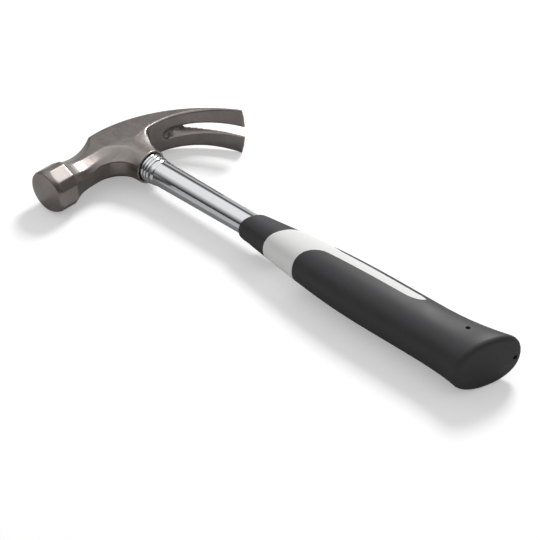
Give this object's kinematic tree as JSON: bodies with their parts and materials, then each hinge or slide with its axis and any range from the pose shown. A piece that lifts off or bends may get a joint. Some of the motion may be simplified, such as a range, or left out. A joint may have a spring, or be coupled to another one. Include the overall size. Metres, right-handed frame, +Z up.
{
  "type": "claw hammer",
  "caption": "Claw hammer lying on its cheek: forged head with faceted poll, neck and curved nail claw, chromed tapering tube shaft and flared two-tone soft grip.",
  "frame": {"origin": "middle of the hammer's footprint on the surface it lies on", "axes": "+X along the shaft from the head to the butt, -Y the way the striking face looks, +Z up"},
  "size_m": [0.3398, 0.143, 0.0362],
  "materials": {
    "forged_head": "satin clear-coated forging",
    "chrome": "polished plate",
    "plain_steel": "plain",
    "nylon": "moulded",
    "pale_grip": "satin moulded",
    "soft_grip": "satin soft moulding"
  },
  "bodies": {
    "root": {"head": "forged_head", "shaft": "chrome", "neck_ferrule": "chrome", "shaft_wedge": "plain_steel", "shaft_end_plug": "nylon", "grip_core": "pale_grip", "grip_collar": "soft_grip", "grip_shell": "soft_grip"}
  },
  "joints": []
}
